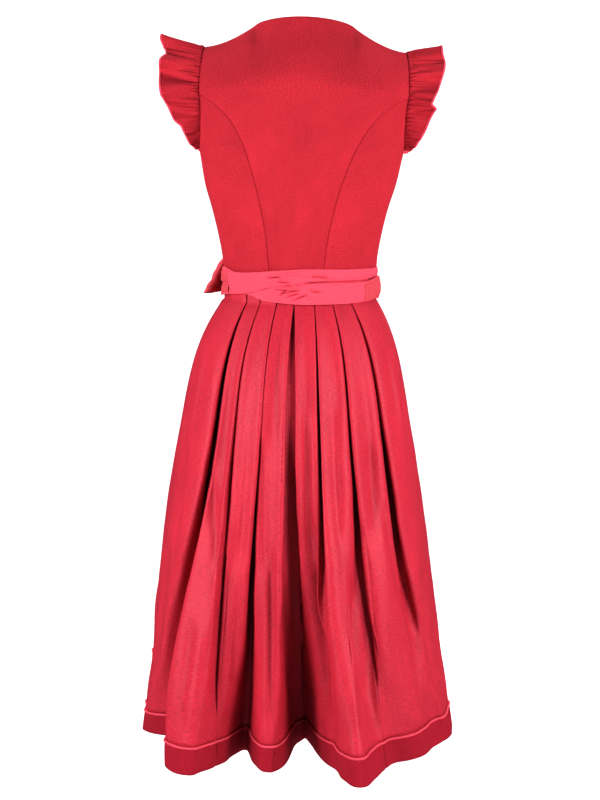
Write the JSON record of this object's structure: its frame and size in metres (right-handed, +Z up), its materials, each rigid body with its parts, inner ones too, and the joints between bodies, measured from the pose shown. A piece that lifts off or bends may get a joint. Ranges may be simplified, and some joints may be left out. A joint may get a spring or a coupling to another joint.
{
  "type": "dirndl",
  "caption": "Sleeveless dirndl: princess-seamed bodice, gathered wing frills at the armholes, pleated midi skirt with piped hem band, and an apron tied at the waist in a side bow.",
  "frame": {"origin": "midway between the two neck points of the shoulder line, where the shoulders of the figure or hanger carry the dress", "axes": "+Z up, along the body, -Y towards the front of the dress, +X towards the wearer's left"},
  "size_m": [0.4754, 0.4202, 1.078],
  "materials": {
    "bodice_cloth": "matte",
    "skirt_satin": "satin",
    "coral_satin": "satin",
    "crimson_satin": "satin"
  },
  "bodies": {
    "root": {"bodice_back": "bodice_cloth", "bodice_side_back_left": "bodice_cloth", "bodice_side_back_right": "bodice_cloth", "bodice_side_front_left": "bodice_cloth", "bodice_side_front_right": "bodice_cloth", "bodice_front_left": "bodice_cloth", "bodice_front_right": "bodice_cloth", "frill_left": "bodice_cloth", "frill_right": "bodice_cloth", "frill_edge_left": "coral_satin", "frill_edge_right": "coral_satin", "skirt_back": "skirt_satin", "skirt_left": "skirt_satin", "skirt_right": "skirt_satin", "hem_band_back": "skirt_satin", "hem_band_left": "skirt_satin", "hem_band_right": "skirt_satin", "hem_piping_back": "coral_satin", "hem_piping_left": "coral_satin", "hem_piping_right": "coral_satin", "apron_panel": "coral_satin", "apron_waistband": "coral_satin", "tie_right_back": "coral_satin", "tie_left_back": "coral_satin", "tie_right_end": "crimson_satin", "tie_left_end": "crimson_satin", "bow_knot": "crimson_satin", "bow_loop_back": "crimson_satin", "bow_loop_front": "crimson_satin", "bow_tail_upper": "crimson_satin", "bow_tail_lower": "crimson_satin"}
  },
  "joints": []
}
